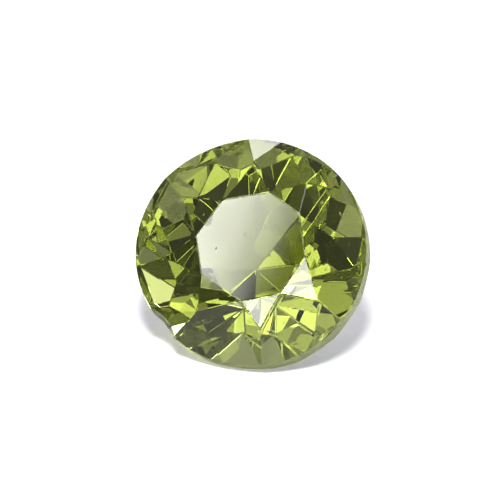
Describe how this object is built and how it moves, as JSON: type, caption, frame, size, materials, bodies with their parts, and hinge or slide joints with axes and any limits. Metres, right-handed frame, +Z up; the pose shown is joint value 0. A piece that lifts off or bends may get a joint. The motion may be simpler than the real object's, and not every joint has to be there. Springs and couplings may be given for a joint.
{
  "type": "faceted kornerupine gemstone",
  "caption": "Loose round-cut olive-green kornerupine gemstone with a thick girdle and a small chip, lying on a pavilion facet with its table tipped forwards.",
  "frame": {"origin": "under the middle of the lying stone's bounding box, on the surface that it rests on", "axes": "+Z up, square to the facet that the stone rests on; the table faces forwards and up, towards -Y"},
  "size_m": [0.006, 0.0048, 0.005],
  "materials": {
    "kornerupine": "clear olive-green crystal, polished facets, a matte ground girdle"
  },
  "bodies": {
    "root": {"kornerupine": "kornerupine"}
  },
  "joints": []
}
